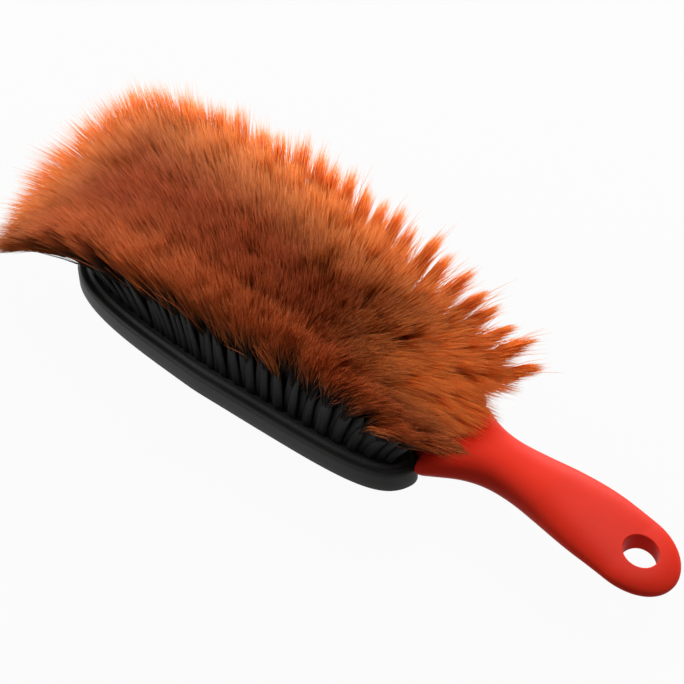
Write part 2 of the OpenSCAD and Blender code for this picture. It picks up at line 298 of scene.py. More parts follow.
# %% [markdown]
# ### The dark roots of the tufts
# Each tuft leaves the block as a flat black bundle. Its hairs lie so close that it looks
# like a blade with a faint lengthwise grain. The second number of its map runs from root
# to top, the first across it, so stripes across the first number make that grain.

# %% Black bundle at the root of a tuft
black_bundle, shader, start = new_finish("black_hair_bundle")
across, along = start.map_pair("Strands")
stretched = start.node("ShaderNodeCombineXYZ", None, {0: across * 60.0, 1: along * 2.0})
fibre = stretched.noise(1.0, 3.0, 0.6)
base = fibre.step(0.42, 0.72).mixed(colour(8, 8, 8), colour(40, 40, 40))
wire_to(shader, "Base Color", along.step(0.8, 1.0).mixed(base, colour(44, 30, 22)))
wire_to(shader, "Roughness", 0.45 + 0.2 * fibre)
bump_to(shader, fibre, 0.6, 0.5 * MM)
shader.inputs["Specular IOR Level"].default_value = 0.18
print("made", black_bundle.name)

# %% [markdown]
# ### The hair
# A hair is dark at its root, brown where it leaves the bundle, orange along its length and,
# on the outside, pale at its tip. Its map Strands holds a number of its own in the first
# place and how far along the hair a point lies in the second, so that no two hairs change
# colour at one height. A second map, Spots, says how far out a hair stands in the head and
# how near to the near row. The outermost hairs get a painted glow, a brighter orange painted
# in for the light from behind them; the near hairs get a paler brown, partly their own tan
# and partly painted light on their shaded side; and the dark climbs highest in the near.

# %% Dyed hair and painted glow
orange_hair, shader, start = new_finish("orange_hair")
own, along = start.map_pair("Strands")
edge, near = start.map_pair("Spots")
scatter = start.node("ShaderNodeTexWhiteNoise", {"noise_dimensions": "1D"}, {"W": own * 977.0})
grown = along + 0.14 * (scatter - 0.5)
level = grown + 0.14 - 0.27 * near + 0.26 * near * (own - 0.5)
# Painted glow: outer picks the outermost hairs, from about half their height up, for a painted
# brightness that stands in for the light from behind them.
outer = edge * grown.step(0.4, 0.75)
# Towards the near row brown and ripe turn paler: partly the near hair's own tan, partly painted light
# that lifts its shaded side.
brown = near.mixed(colour(152, 64, 26), colour(220, 122, 60))
root = near.mixed(colour(52, 25, 13), colour(20, 18, 17))
dark = level.step(0.43, 0.63).mixed(root, brown)
ripe = near.mixed(colour(168, 71, 29), colour(186, 88, 40))
inner = grown.step(0.68, 0.98).mixed(dark, ripe)
# The painted glow colours: bright oranges that outer lays on the outermost hairs as painted backlight.
glow = grown.step(0.5, 1.0).mixed(colour(255, 126, 46), colour(255, 164, 86))
warm = outer.mixed(inner, glow)
pale = (edge * grown.step(0.93, 1.07)).mixed(warm, colour(246, 206, 172))
shade = own * (0.26 + 0.12 * near) + scatter * 0.22 + 0.72
grey = start.node("ShaderNodeCombineColor", None, {0: shade, 1: shade, 2: shade})
tinted = start.node("ShaderNodeMix", {"data_type": "RGBA", "blend_type": "MULTIPLY"},
                    {0: 1.0, 6: pale, 7: grey}, out=2)
wire_to(shader, "Base Color", tinted)
wire_to(shader, "Roughness", 0.5 + 0.15 * scatter)
shader.inputs["Specular IOR Level"].default_value = 0.1
print("coloured", orange_hair.name)

# %% [markdown]
# A single hair is so thin that light shines through it. A translucent shader does that, and
# most of all in the outermost hairs, which have nothing but the lamp behind them.

# %% Light through the hair
through = start.node("ShaderNodeBsdfTranslucent", None, {"Color": (1.0, 0.56, 0.23, 1.0)})
mixed_surface(shader, through, 0.1 + outer * 0.68)
print("made", orange_hair.name)

# %% [markdown]
# ### The steel anchors
# Every tuft is folded round a flat steel anchor, out of sight in the block. The anchors
# keep their solids and only get a drawn-wire finish.

# %% Drawn steel
drawn_steel, shader, start = new_finish("drawn_steel")
place = start.node("ShaderNodeTexCoord", out="Object")
streak = place.noise(900.0, 2.0)
wire_to(shader, "Base Color", streak.mixed(colour(168, 168, 172), colour(196, 196, 200)))
wire_to(shader, "Roughness", 0.28 + 0.15 * streak)
shader.inputs["Metallic"].default_value = 1.0
anchors = [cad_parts[f"anchor_row_{k}"] for k in range(1, row_count + 1)]
for anchor in anchors:
    anchor.data.materials.clear()
    anchor.data.materials.append(drawn_steel)
print("steel on", len(anchors), "rows of anchors")

# %% [markdown]
# ## The outline of the head
# The block's outline is a squared ellipse, squarer and a little narrower towards the
# handle, with a notch that takes the neck. The same two half-widths serve the block, the
# back under it and the places of the tufts, so all of them keep in step.

# %% Half-widths of head and notch


def signed_power(value, square):
    """Sign times size to the power 2 / square: the squared ellipse's cosine or sine."""
    return np.sign(value) * np.abs(value) ** (2 / square)


def head_half(x, inset=0.0):
    """Half-width of the head at x: half-width times taper times the n-th root of 1 minus the
    n-th power of x over the reach, all drawn in by inset."""
    x = np.asarray(x, dtype=float)
    reach = np.where(x > 0, block_rear, block_front) - inset
    square = np.where(x > 0, rear_square, front_square)
    taper = np.where(x > 0, 1 - rear_taper * x / (block_rear - inset), 1.0)
    inside = np.maximum(0, 1 - (np.abs(x) / reach) ** square)
    return (block_half - inset) * taper * inside ** (1 / square)


notch_x = block_rear - notch_long


def notch_half(x, grow=0.0):
    """Half-width of the notch at x: a round inner corner, then straight, then flaring as the
    square of the way along its mouth."""
    x = np.asarray(x, dtype=float)
    r, d = notch_round + grow, x - notch_x + grow
    corner = np.sqrt(np.maximum(0, r * r - (r - np.clip(d, 0, r)) ** 2))
    mouth = np.clip((x - block_rear + mouth_long) / mouth_long, 0, 1)
    return np.where(d <= 0, 0.0, notch_wide / 2 - notch_round + corner + mouth_flare * mouth ** 2)


print("half-width at the middle and beside the neck:", head_half([0.0, 66.0]).round(2))

# %% [markdown]
# ## The tuft block
# One closed line runs round the head and in and out of the notch. A profile is swept along
# it: up the wall, over the rounded edge, across the slightly dished rim and down to the bed.
# Drawn that way, the highlight on the edge runs round the block in one thin line.

# %% The block's outline


def block_outline(count=900, soft=2.2):
    """Closed line round the block, evenly spaced: the head's squared ellipse from lobe to
    lobe, then the notch. A running average over soft millimetres to each side, taken twice,
    rounds the lobes."""
    mouth = float(notch_half(block_rear))
    turn = np.linspace(0, 2 * np.pi, 4001)
    c, s = np.cos(turn), np.sin(turn)
    square = np.where(c > 0, rear_square, front_square)
    x = np.where(c > 0, block_rear, block_front) * signed_power(c, square)
    taper = np.where(x > 0, 1 - rear_taper * x / block_rear, 1.0)
    y = block_half * taper * signed_power(s, square)
    outer = np.stack([x, y], -1)[~((x > 0) & (np.abs(y) < mouth))]
    inner_x = notch_x + notch_long * np.linspace(1, 0, 120) ** 1.6
    wall = np.stack([inner_x, -notch_half(inner_x)], -1)
    line = np.concatenate([outer, wall, wall[::-1] * [1, -1], outer[:1]])
    far = np.concatenate([[0], np.cumsum(np.hypot(*np.diff(line, axis=0).T))])
    even = np.linspace(0, far[-1], count, endpoint=False)
    line = np.stack([np.interp(even, far, line[:, k]) for k in (0, 1)], -1)
    width = max(1, int(soft / (far[-1] / count)))
    for _ in range(2):
        wide = np.concatenate([line[-width:], line, line[:width]])
        total = np.cumsum(np.concatenate([np.zeros((1, 2)), wide]), axis=0)
        line = (total[2 * width + 1:] - total[:-2 * width - 1]) / (2 * width + 1)
    return line


outline = block_outline()
ahead = np.roll(outline, -1, axis=0) - np.roll(outline, 1, axis=0)
inward = np.stack([-ahead[:, 1], ahead[:, 0]], -1) / np.linalg.norm(ahead, axis=1)[:, None]
print("block outline:", len(outline), "points,", outline.min(0).round(1), "to", outline.max(0).round(1))

# %% Sweeping the block's section
foot_bevel, wall_middle, rim_dish, inner_drop = 0.6, -3.6, 0.5, 0.12
dish_end = 0.96


def block_section():
    """Columns of the block's sweep as (line of points, height): bevelled foot, wall, quarter
    round, dished rim, inner edge and the bed. Beside the notch the inner line stops where the
    rims along the head and along the notch meet."""
    crossing = np.linspace(notch_x, block_rear - rim_wide - 0.1, 400)
    apart = head_half(crossing, rim_wide) - notch_half(crossing, rim_wide)
    cross_x = crossing[np.argmin(np.abs(apart))]
    cross_y = float(notch_half(cross_x, rim_wide))
    inner = outline + inward * rim_wide
    past = inner[:, 0] > cross_x
    inner[past] = np.stack([np.full(past.sum(), cross_x), np.sign(inner[past, 1]) * cross_y], -1)
    top = outline + inward * edge_round
    columns = [(outline + inward * foot_bevel, -block_high),
               (outline + inward * foot_bevel / 4, -block_high + foot_bevel / 4),
               (outline, -block_high + foot_bevel),
               (outline, wall_middle)]
    for degrees in np.linspace(0, 90, 9):
        a = math.radians(degrees)
        drawn_in = inward * edge_round * (1 - math.cos(a))
        columns.append((outline + drawn_in, edge_round * (math.sin(a) - 1)))
    for t in np.linspace(0.06, 0.9, 12):
        dip = rim_dish * math.sin(math.pi * t / dish_end) ** 2
        columns.append((top + (inner - top) * t, -dip))
    columns += [(top + (inner - top) * dish_end, 0.0), (inner, -inner_drop), (inner, -rim_step)]
    return columns


columns = block_section()
points = np.concatenate([np.column_stack([line, np.full(len(line), z)]) for line, z in columns])
count = len(outline)
quads = grid_quads(len(columns), count, closed=True)
floor_faces = np.array(tessellate_polygon([[Vector((*p, 0)) for p in columns[-1][0]]]))
foot_faces = np.array(tessellate_polygon([[Vector((*p, 0)) for p in columns[0][0]]]))


def facing(points, triangles, up):
    """Triangles turned so that they all face up, or all face down."""
    a, b, c = (points[triangles[:, k]] for k in range(3))
    normal = np.cross(b - a, c - a)[:, 2]
    flip = (normal < 0) if up else (normal > 0)
    triangles = triangles.copy()
    triangles[flip] = triangles[flip][:, ::-1]
    return triangles


floor_faces = facing(points, floor_faces + (len(columns) - 1) * count, True)
foot_faces = facing(points, foot_faces, False)
points, faces = welded(points, [quads, floor_faces, foot_faces])
block = add_piece("tuft_block_moulding", placed(points), faces, black_matt, smooth=32)
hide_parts("tuft_block")

# %% [markdown]
# ## The red handle
# The handle and the back under the block are one moulding. Rings are laid along it: under
# the block a shallow crown with a ledge, in the notch a ridge, and behind the block the
# shoulder, neck and grip, whose middle line arches. The last stretch holds the hanging
# hole, so there the grid turns into rays from the hole to the outline.

# %% Widths and heights along the handle
shoulder_wide, shoulder_round, neck_wide, neck_at = 34.0, 3.0, 17.0, 22.0
handle_reach, grip_wide, grip_at, grip_thick, tip_thick = 75.4, 23.6, 53.0, 10.4, 5.8
thin_at, arch_high, arch_at, root_drop, tip_drop = 36.0, 6.5, 38.0, 5.6, 5.2
tip_round, section_square, hole_wide, hole_in = 14.0, 2.5, 9.6, 11.0
keel_drop, keel_long, keel_square = 2.8, 12.0, 1.6
tip_x, shoulder_x = block_rear + handle_reach, block_rear + fit_gap
hole_x = tip_x - hole_in


def ease(u):
    """Half a cosine wave from 0 to 1."""
    return (1 - np.cos(np.pi * np.clip(u, 0, 1))) / 2


def mix(a, b, u):
    """From a where u is 0 to b where u is 1."""
    return a + (b - a) * u


def grip_half(x):
    """Half-width of the handle: a parabola from shoulder to neck, eased on to the grip, with
    rounded shoulders and a round tip."""
    d = np.asarray(x) - block_rear
    wide = np.where(d < neck_at, mix(neck_wide, shoulder_wide, (1 - d / neck_at) ** 2),
                    mix(neck_wide, grip_wide, ease((d - neck_at) / (grip_at - neck_at))))
    c = 1 - np.clip(d / shoulder_round, 0, 1)
    k = np.clip((x - tip_x + tip_round) / tip_round, 0, 1)
    square_end = wide / 2 - shoulder_round * (1 - np.sqrt(1 - c * c))
    return square_end * np.sqrt(np.maximum(0, 1 - k * k))


def grip_middle(x):
    """Height of the handle's middle line: two half parabolas that meet at the arch's top."""
    d = np.asarray(x) - block_rear - arch_at
    return arch_high - np.where(d < 0, root_drop * (d / arch_at) ** 2,
                                tip_drop * (d / (handle_reach - arch_at)) ** 2)


def grip_deep(x):
    """Half the thickness of the handle, thinning evenly to the tip and rounded off there."""
    u = np.clip((x - block_rear - thin_at) / (handle_reach - tip_round - thin_at), 0, 1)
    k = np.clip((x - tip_x + tip_round) / tip_round, 0, 1)
    return mix(grip_thick, tip_thick, u) / 2 * np.sqrt(np.maximum(0, 1 - k ** 4))


print("grip half-widths:", grip_half(np.array([73.0, 92.0, 124.0, 140.0])).round(2))

# %% Rings of the crown, ridge, shoulder and grip
half_count = 28
crown_end = notch_wide / 2 + mouth_flare + fit_gap / 2
back_z = -block_high
rest_z = -block_high - back_deep + flat_cut
ridge_x = notch_x + fit_gap
crown_square = 2.6
ledge_rise, ledge_draw = 5.0, 2.5
ring_turn = np.linspace(0, np.pi / 2, half_count)
ring_cos, ring_sin = np.cos(ring_turn), np.sin(ring_turn)


def crown_half(x):
    """Half-width of the back: in front the head's outline drawn in, behind narrowing to the
    mouth of the notch with a power of the way there."""
    rear = mix(block_half - back_inset, crown_end, np.clip(x / shoulder_x, 0, 1) ** 2.2)
    return np.where(x < 0, head_half(x, back_inset), rear)


def crown_deep(x):
    """Depth of the back below the block: in front the full depth times a low power of the
    half-width's share, behind easing from the flat to the neck's keel."""
    front = back_deep * (head_half(x, back_inset) / (block_half - back_inset)) ** 0.35
    neck = keel_drop - grip_middle(shoulder_x) + grip_thick / 2 + back_z
    flat = block_rear - back_run
    return np.where(x < 0, front, mix(back_deep, neck, ease((x - flat) / (shoulder_x - flat))))


def quarter(wide, high, middle, square):
    """A quarter of a squared ellipse for each x: half-width times the powered cosine, and
    middle plus height times the powered sine, which may point down."""
    wide, high, middle, square = (np.asarray(part)[:, None] for part in (wide, high, middle, square))
    y = wide * signed_power(ring_cos[None, :], square)
    z = middle + high * signed_power(ring_sin[None, :], square)
    return y, z


def whole_rings(x, low, top):
    """Rings from their lower and upper quarters: keel to side, side to ridge, and mirrored."""
    y = np.concatenate([low[0][:, ::-1], top[0]], axis=1)
    z = np.maximum(np.concatenate([low[1][:, ::-1], top[1]], axis=1), rest_z)
    y = np.concatenate([y, -y[:, -2:0:-1]], axis=1)
    z = np.concatenate([z, z[:, -2:0:-1]], axis=1)
    return np.stack([np.repeat(x[:, None], y.shape[1], axis=1), y, z], axis=-1)


def head_rings(x):
    """Rings under the block: the crown from keel to ledge, then the ridge in the notch. In the
    mouth of the notch the ledge draws in and rises, until the ring is that of the shoulder."""
    in_notch = np.maximum(notch_half(x, -fit_gap), crown_half(x) * 0.2)
    wide = np.minimum(in_notch, crown_half(x) * 0.98)
    high = mix(back_z, grip_middle(x) + grip_thick / 2, ease((x - ridge_x) / (notch_long * 0.6)))
    rise = ease((x - block_rear + ledge_rise) / ledge_rise)
    ledge = mix(back_z, grip_middle(x), rise)
    side = mix(crown_half(x), wide, ease((x - block_rear + ledge_rise + ledge_draw) / ledge_draw))
    low = quarter(side, back_z - crown_deep(x) - ledge, ledge, mix(crown_square, keel_square, rise))
    top = quarter(wide, high - ledge, ledge, section_square + 0 * x)
    return whole_rings(x, low, top)


def grip_rings(x):
    """Rings behind the block: squared ellipses, with a keel below the shoulder."""
    keel = 1 - ease((x - shoulder_x) / keel_long)
    low = quarter(grip_half(x), -grip_deep(x) - keel_drop * keel, grip_middle(x),
                  mix(section_square, keel_square, keel))
    top = quarter(grip_half(x), grip_deep(x), grip_middle(x), section_square + 0 * x)
    return whole_rings(x, low, top)


front_end = block_front - back_inset
hole_room = 10.5
hole_start = hole_x - hole_room
head_x = np.concatenate([-front_end * np.cos(np.pi / 2 * np.linspace(0, 1, 40) ** 1.4),
                         np.linspace(1.0, ridge_x, 24),
                         np.linspace(ridge_x, block_rear + fit_gap / 4, 26)[1:]])
grip_x = np.concatenate([shoulder_x + neck_at * np.linspace(0, 1, 44) ** 1.6,
                         np.linspace(shoulder_x + neck_at, hole_start, 40)[1:]])
rings = np.concatenate([head_rings(head_x), grip_rings(grip_x)])
print("handle rings:", rings.shape[0], "of", rings.shape[1], "points")

# %% [markdown]
# ### The end with the hanging hole
# Rings can't go round a hole. Seen from above, the end is therefore covered by rays: each
# starts on the outline or on the last ring and runs in to the rim of the hole, down its wall
# and out again below. The squared ellipse gives the height at every spot of a ray.

# %% Rays round the hanging hole
rim_round = 0.28


def ray_ends():
    """Ends of the rays, in order round the hole: the near side out to the tip, the far side
    back, and across the last ring. Upper and lower ends differ only in height there."""
    side_x = hole_start + (tip_x - hole_start) * np.sin(np.linspace(0, np.pi / 2, 64))
    side = np.stack([side_x, -grip_half(side_x), grip_middle(side_x)], -1)
    side[-1, 1] = 0.0
    around = np.concatenate([side, side[-2::-1] * [1, -1, 1]])
    last = rings[-1]
    upper = last[half_count + 1:3 * half_count - 2]
    lower = np.concatenate([last[half_count - 2::-1], last[:3 * half_count - 1:-1]])
    return np.concatenate([around, upper]), np.concatenate([around, lower])


def skin_deep(x, y):
    """Half-thickness at x, y: depth times the m-th root of 1 minus (y / half-width) to the m."""
    share = np.clip(np.abs(y) / np.maximum(grip_half(x), 1e-6), 0, 1)
    return grip_deep(x) * np.maximum(0, 1 - share ** section_square) ** (1 / section_square)


def skin_rays(ends, side, count=24):
    """Rows of points from the ray ends in to the wall of the hole, on the upper or lower skin.
    The rows crowd towards the outline as a cosine does, and a quarter circle rounds the rim."""
    out = ends[:, :2] - [hole_x, 0.0]
    far = np.linalg.norm(out, axis=1)
    way = out / far[:, None]
    start = hole_wide / 2 + rim_round
    reach = start + (far - start) * np.cos(np.linspace(0, np.pi / 2, count))[:, None]
    x, y = hole_x + way[:, 0] * reach, way[:, 1] * reach
    z = grip_middle(x) + side * skin_deep(x, y)
    skin = np.stack([x, y, z], axis=-1)
    skin[0] = ends
    a = np.linspace(0, np.pi / 2, 7)[1:, None]
    r = start - rim_round * np.sin(a)
    lip = np.stack([hole_x + way[:, 0] * r, way[:, 1] * r,
                    z[-1] - side * rim_round * (1 - np.cos(a))], axis=-1)
    return np.concatenate([skin, lip])


upper_ends, lower_ends = ray_ends()
upper_skin, lower_skin = skin_rays(upper_ends, 1.0), skin_rays(lower_ends, -1.0)
down = np.linspace(0, 1, 6)[1:-1, None, None]
wall = mix(upper_skin[-1], lower_skin[-1], down)
end_skin = np.concatenate([upper_skin, wall, lower_skin[::-1]])
points = np.concatenate([rings.reshape(-1, 3), end_skin.reshape(-1, 3)])
quads = grid_quads(rings.shape[0], rings.shape[1], closed=True)[:, ::-1]
end_quads = grid_quads(end_skin.shape[0], end_skin.shape[1], closed=True, start=rings[..., 0].size)
points, faces = welded(points, [quads, end_quads])
handle = add_piece("handle_moulding", placed(points), faces, red_satin, smooth=38)
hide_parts("handle")

# %% [markdown]
# ## The tufts
# The hair is set in nine rows of tufts that bend with the head's outline. It stands upright
# at one place near the middle and fans out from there, most of all at the front, where the
# far corner has the longest. A hair starts steep and leans more and more, as a soft bristle
# does, so a smooth rule for the lean of its tip is all that the shape of the brush needs.

# %% Places of the tufts
fan_x, hair_long, bed_top, strand_half = 10.0, 36.0, -rim_step, 1.1
front_root, rear_root = block_front - rim_wide - end_room, block_rear - rim_wide - end_room


def row_span(x):
    """Half-width that the rows fill at x: the head's, less the rim and the room beside it."""
    return head_half(np.clip(x, -front_root, rear_root), rim_wide) - edge_room


def row_tufts(row):
    """Middle of each tuft of a row: an even pitch along the head, and the row's share of the
    span across it, without the tufts that would stand in the notch."""
    slots = math.floor((front_root + rear_root) / 2 / tuft_pitch)
    x = (rear_root - front_root) / 2 + tuft_pitch * np.arange(-slots, slots + 1)
    y = (row - (row_count + 1) / 2) / ((row_count - 1) / 2) * row_span(x)
    near = x + strand_half
    notch = np.maximum(notch_half(near, rim_wide), notch_half(near + edge_room, rim_wide))
    clear = edge_room + notch
    free = (near < notch_x - rim_wide - edge_room) | (np.abs(y) > clear)
    return np.stack([x, y], -1)[free]


tufts = [row_tufts(row) for row in range(1, row_count + 1)]
print("tufts in each row:", [len(t) for t in tufts], "total", sum(len(t) for t in tufts))

# %% Lean and length of the hair
lobe_start, lobe_run = 8.0, 15.0
near_forward, end_forward, corner_across = 1.45, 0.3, 2.4
rear_lean, rear_middle_lean, rear_across = 0.85, 0.95, 0.12
near_across, far_across = 0.05, 0.48
front_longer, front_slant, corner_shorter = 4.5, 6.5, 3.5
rear_shorter, far_rear_shorter = 3.0, 5.0
last_longer, far_shorter = 3.6, 3.0


def fan_shares(x, y):
    """Shares of the way from the upright place to the front end, and to the rear end there:
    the notch in the middle rows and the lobes of the block at the sides."""
    front = np.clip((fan_x - x) / (fan_x + block_front - rim_wide), 0, 1)
    rear_end = mix(notch_x, block_rear, ease((np.abs(y) - lobe_start) / lobe_run)) - rim_wide
    return front, np.clip((x - fan_x) / (rear_end - fan_x), 0, 1)


def hair_lean(x, y):
    """Slope of a hair's tip along and across the head, as sums of powers of the shares of the
    way. It grows towards both ends and both sides, most at the near front corner, and at the
    rear most in the middle rows."""
    side = np.clip(y / row_span(x), -1, 1)
    near, inner = (1 - side) / 2, 1 - np.abs(side)
    front, rear = fan_shares(x, y)
    forward = mix(front, near_forward * front ** 1.3 + end_forward * front ** 8, near)
    along = rear ** 1.4 * (rear_lean + rear_middle_lean * inner ** 0.7) - forward
    across = np.where(side < 0, near_across * side, far_across * side)
    across = across - corner_across * near ** 1.5 * front ** 6 + rear_across * near * rear ** 2
    return np.stack([along, across], -1)


def hair_length(x, y):
    """Length of the hair: longest at the far front corner, shorter at the near front corner and
    at the rear, and a little longer in the last row than in the rows before it."""
    front, rear = fan_shares(x, y)
    side = np.clip(y / row_span(x), -1, 1)
    far = np.clip(side, 0, 1)
    last = far ** 8
    longer = front * (front_longer + front_slant * side)
    longer = longer - (rear_shorter + far_rear_shorter * far) * rear
    longer = longer - corner_shorter * front ** 4 * np.clip(-side, 0, 1)
    outer = last_longer * last - far_shorter * far * (1 - last)
    return hair_long + longer + outer * (1 - front)


print("hair at the front, the upright place and the rear, mm:",
      hair_length(np.array([-front_root, fan_x, rear_root]), np.zeros(3)).round(1))

# %% [markdown]
# ### Black bundles
# At its root a tuft is a flat bundle about three millimetres wide, and its top thins out
# where the hair turns orange. All bundles together are one piece: a small tube of eight
# sides that follows the lean of the hair, copied to every tuft and once more into each gap
# between two tufts of a row, because the roots stand so close that no light comes through.

# %% Making the bundles
chance = np.random.default_rng(27)
first_lean = 0.45
blunt_start, blunt_run = 36.0, 18.0
stout_start, stout_run = -20.0, 50.0
root_sink = 0.3


def bend(share):
    """Sideways travel of a hair at a share of its height: it starts with a little less than half
    the lean and bends further, so it is near the mean of the share and its square."""
    return first_lean * share + (1 - first_lean) * share ** 2


def blunt_share(x):
    """How bluntly a bundle ends at x: not at all up to the rear part, fully near the neck."""
    return ease((x - blunt_start) / blunt_run)


def stout_share(x):
    """How stout a bundle is at x, from the slim ones at the front to those at the rear."""
    return ease((x - stout_start) / stout_run)


def bundles(middles, sides=8, rings=9):
    """Points, faces and map of flat tapering tubes on all tufts. A ring is an ellipse, the
    half-width times the cosine along the row and half the thickness times the sine across it,
    and both close towards the top, more suddenly where the bundle is blunt."""
    lean = hair_lean(*middles.T) + chance.normal(0, 0.06, middles.shape)
    long = hair_length(*middles.T)
    tall = long / np.sqrt(1 + (lean ** 2).sum(-1))
    blunt = blunt_share(middles[:, 0])
    near = np.clip(-middles[:, 1] / row_span(middles[:, 0]), 0, 1) ** 4
    front, _ = fan_shares(*middles.T)
    near_top = chance.uniform(0.58, 0.86, len(middles)) + 0.1 * front
    top = mix(0.4, near_top, near) * (1 - 0.3 * blunt)
    s = np.linspace(0, 1, rings)[None, :, None]
    a = (np.arange(sides) * 2 * np.pi / sides)[None, None, :]
    share = s * top[:, None, None]
    close = np.maximum(0, 1 - s ** (2 + 10 * blunt)[:, None, None]) ** 0.7
    girth = mix(1.25, 1.95, stout_share(middles[:, 0]))
    wide = (girth * chance.uniform(0.88, 1.15, len(middles)))[:, None, None] * close
    thick = chance.uniform(0.6, 0.8, len(middles))[:, None, None] * close
    rise = share * tall[:, None, None]
    travel = bend(share) * tall[:, None, None]
    x = middles[:, 0, None, None] + lean[:, 0, None, None] * travel + wide * np.cos(a)
    y = middles[:, 1, None, None] + lean[:, 1, None, None] * travel + thick * np.sin(a)
    z = bed_top - root_sink + rise + 0 * a
    points = np.stack([x, y, z], -1).reshape(-1, 3)
    offset = np.arange(len(middles)) * rings * sides
    quads = grid_quads(rings, sides, closed=True)
    faces = (quads[None] + offset[:, None, None]).reshape(-1, 4)
    foot = np.arange(sides)[::-1][None] + offset[:, None]
    own = chance.random(len(middles))[:, None, None]
    uv = np.stack([own + 0.1 * np.cos(a) + 0 * s, s + 0 * a + 0 * own], -1).reshape(-1, 2)
    return points, [faces, foot], uv


between = np.concatenate([t[:-1] for t in tufts])
aside = mix(0.2, 1.3, stout_share(between[:, 0]))
between = between + np.stack([np.full(len(between), tuft_pitch / 2), aside], -1)
points, faces, uv = bundles(np.concatenate(tufts + [between]))
maps = {"Strands": uv}
roots = add_piece("tuft_roots", placed(points), faces, black_bundle, smooth=180, maps=maps)

# %% [markdown]
# ### The hair itself
# A hair is a thin tube of three sides that ends in a point. Each tuft gets a few hundred:
# they leave its bundle close together and spread as they rise, each to a place of its own.
# Hair particles would do that too, but they are no mesh, and a mesh can be carried anywhere.
# Small locks share part of their place, lean and tone, so the coat looks combed by use.

# %% Spreading the hair
hairs_in_tuft, locks_in_tuft, hair_rings, hair_thick = 310, 8, 4, 0.13
spread_run = 0.36


def field(count):
    """Places spread evenly over a square from -1 to 1."""
    return chance.uniform(-1, 1, (count, 2))


def spread(share, start, least):
    """How far a hair has moved from the middle of its tuft to its own place, at a share of its
    height: the least share where it leaves the bundle, all the way a spread_run further up."""
    return mix(least, 1.0, ease((share - start) / spread_run))


print("hairs in all:", hairs_in_tuft * sum(len(t) for t in tufts))

# %% [markdown]
# ### Where each hair runs
# All hairs of a row are reckoned at once: the indexes tuft and lock hand what a tuft or a lock
# has to each of its hairs. The words edge, near and streak say how much a hair belongs to the
# far edge, to the near row, and to the parts where the hair hangs in strands.

# %% Lines of the hair
lock_pull, streak_pull, field_wide, edge_narrow = 0.3, 0.3, 1.15, 0.18
edge_parallel = 0.9
tuft_wander, hair_wander, front_wander, edge_calm = 0.03, 0.035, 0.03, 0.015
lock_wander, streak_wander, stray_wander = 0.015, 0.06, 0.1
stray_share, edge_stray_share = 0.02, 0.08
short_share, edge_short_share, edge_taper = 0.22, 0.12, 0.12
leave_low, leave_high, near_leave = 0.34, 0.48, 0.1
sag, rear_sag = 0.13, 0.12


def hair_lines(middles):
    """Middle lines of all hairs of one row, the share of the height along each, their tones and
    their spots. A tuft fills its own field between its neighbours, so a line is the tuft's
    middle plus the spread share of the way to its place, plus the lean there times bend. A
    hair's own lean adds to it as the square of the share, and a droop lowers leaning ends."""
    count, lock_count = len(middles) * hairs_in_tuft, len(middles) * locks_in_tuft
    tuft = np.arange(count) // hairs_in_tuft
    lock = tuft * locks_in_tuft + chance.integers(0, locks_in_tuft, count)
    side = middles[:, 1] / row_span(middles[:, 0])
    front, rear = fan_shares(*middles.T)
    last = np.clip(side, 0, 1) ** 12
    edge = (last * np.maximum(1 - front, rear))[tuft]
    near = (np.clip(-side, 0, 1) ** 4)[tuft]
    streak = np.maximum(near, rear[tuft] ** 2)

    # Places: part of the way is the lock's, the rest is the hair's own
    tight = (lock_pull + streak_pull * streak)[:, None]
    free = field_wide - edge_narrow * edge[:, None] - tight
    spot = tight * field(lock_count)[lock] + free * field(count)
    half = np.stack([0 * side + tuft_pitch / 2, row_span(middles[:, 0]) / (row_count - 1)], -1)
    way = spot * half[tuft]
    place = middles[tuft] + way

    # Leans: those of the place and the tuft, then those of the lock and of the hair itself
    lean = hair_lean(*(place - edge_parallel * edge[:, None] * way).T)
    lean = lean + chance.normal(0, tuft_wander, middles.shape)[tuft]
    stray = chance.random(count) < stray_share + edge_stray_share * edge
    loose = hair_wander + front_wander * front[tuft] - edge_calm * edge + stray_wander * stray
    shared = (lock_wander + streak_wander * streak) * (1 - edge)
    own = chance.normal(0, 1, (lock_count, 2))[lock] * shared[:, None]
    own = own + chance.normal(0, 1, (count, 2)) * loose[:, None]

    # Lengths: tufts and locks differ a little, and some hairs are a good deal shorter
    long = hair_length(*place.T) * (1 + chance.normal(0, 0.012 + 0.03 * last)[tuft])
    uneven = chance.normal(0, 0.03, lock_count)[lock]
    long *= 1 + uneven - (short_share + edge_short_share * edge) * chance.random(count) ** 3
    long *= 1 - edge_taper * edge * np.linalg.norm(spot, axis=1) ** 1.5
    tall = long / np.sqrt(1 + 0.9 * (lean ** 2).sum(-1))

    # Lines, from where a hair leaves its bundle to its tip
    blunt = blunt_share(middles[:, 0])[tuft]
    leave = chance.uniform(leave_low, leave_high, count) + near_leave * (1 - 0.5 * blunt) * near
    s = leave[:, None] + (1 - leave[:, None]) * np.linspace(0, 1, hair_rings + 1)
    out = spread(s, leave[:, None], (0.65 - 0.35 * near)[:, None])[..., None]
    travel = lean[:, None, :] * bend(s)[..., None] + own[:, None, :] * (s ** 2)[..., None]
    flat = middles[tuft, None, :] + way[:, None, :] * out + tall[:, None, None] * travel
    droop = ((sag + rear_sag * rear[tuft]) * np.linalg.norm(lean, axis=1))[:, None] * s ** 3
    high = bed_top + tall[:, None] * (s - droop)
    tone = np.clip(chance.random(lock_count)[lock] + chance.normal(0, 0.07, count), 0, 1)
    return np.concatenate([flat, high[..., None]], axis=-1), s, tone, hair_spots(place)


